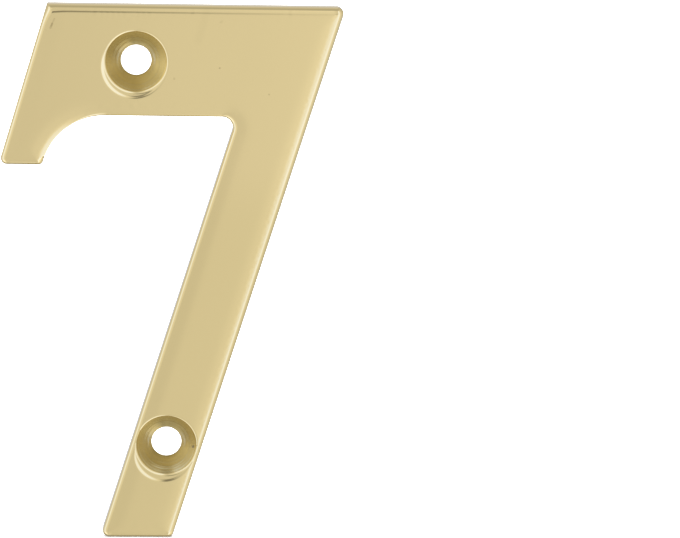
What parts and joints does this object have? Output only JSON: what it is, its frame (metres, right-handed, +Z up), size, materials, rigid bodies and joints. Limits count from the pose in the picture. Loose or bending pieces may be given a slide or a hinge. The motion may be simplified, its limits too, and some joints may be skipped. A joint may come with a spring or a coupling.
{
  "type": "brass door number",
  "caption": "Polished brass door number, the figure seven: a flat plate with rounded front edges and countersunk screw holes, fixed to a door or wall.",
  "frame": {"origin": "on the axis of the upper screw hole, on the flat back", "axes": "+Z up along the figure's height, the front faces -Y, the flat back faces +Y towards the door, +X to the right as it is read"},
  "size_m": [0.0475, 0.003, 0.076],
  "materials": {
    "polished_brass": "buffed and polished, unlacquered"
  },
  "bodies": {
    "root": {"numeral_seven": "polished_brass"}
  },
  "joints": []
}
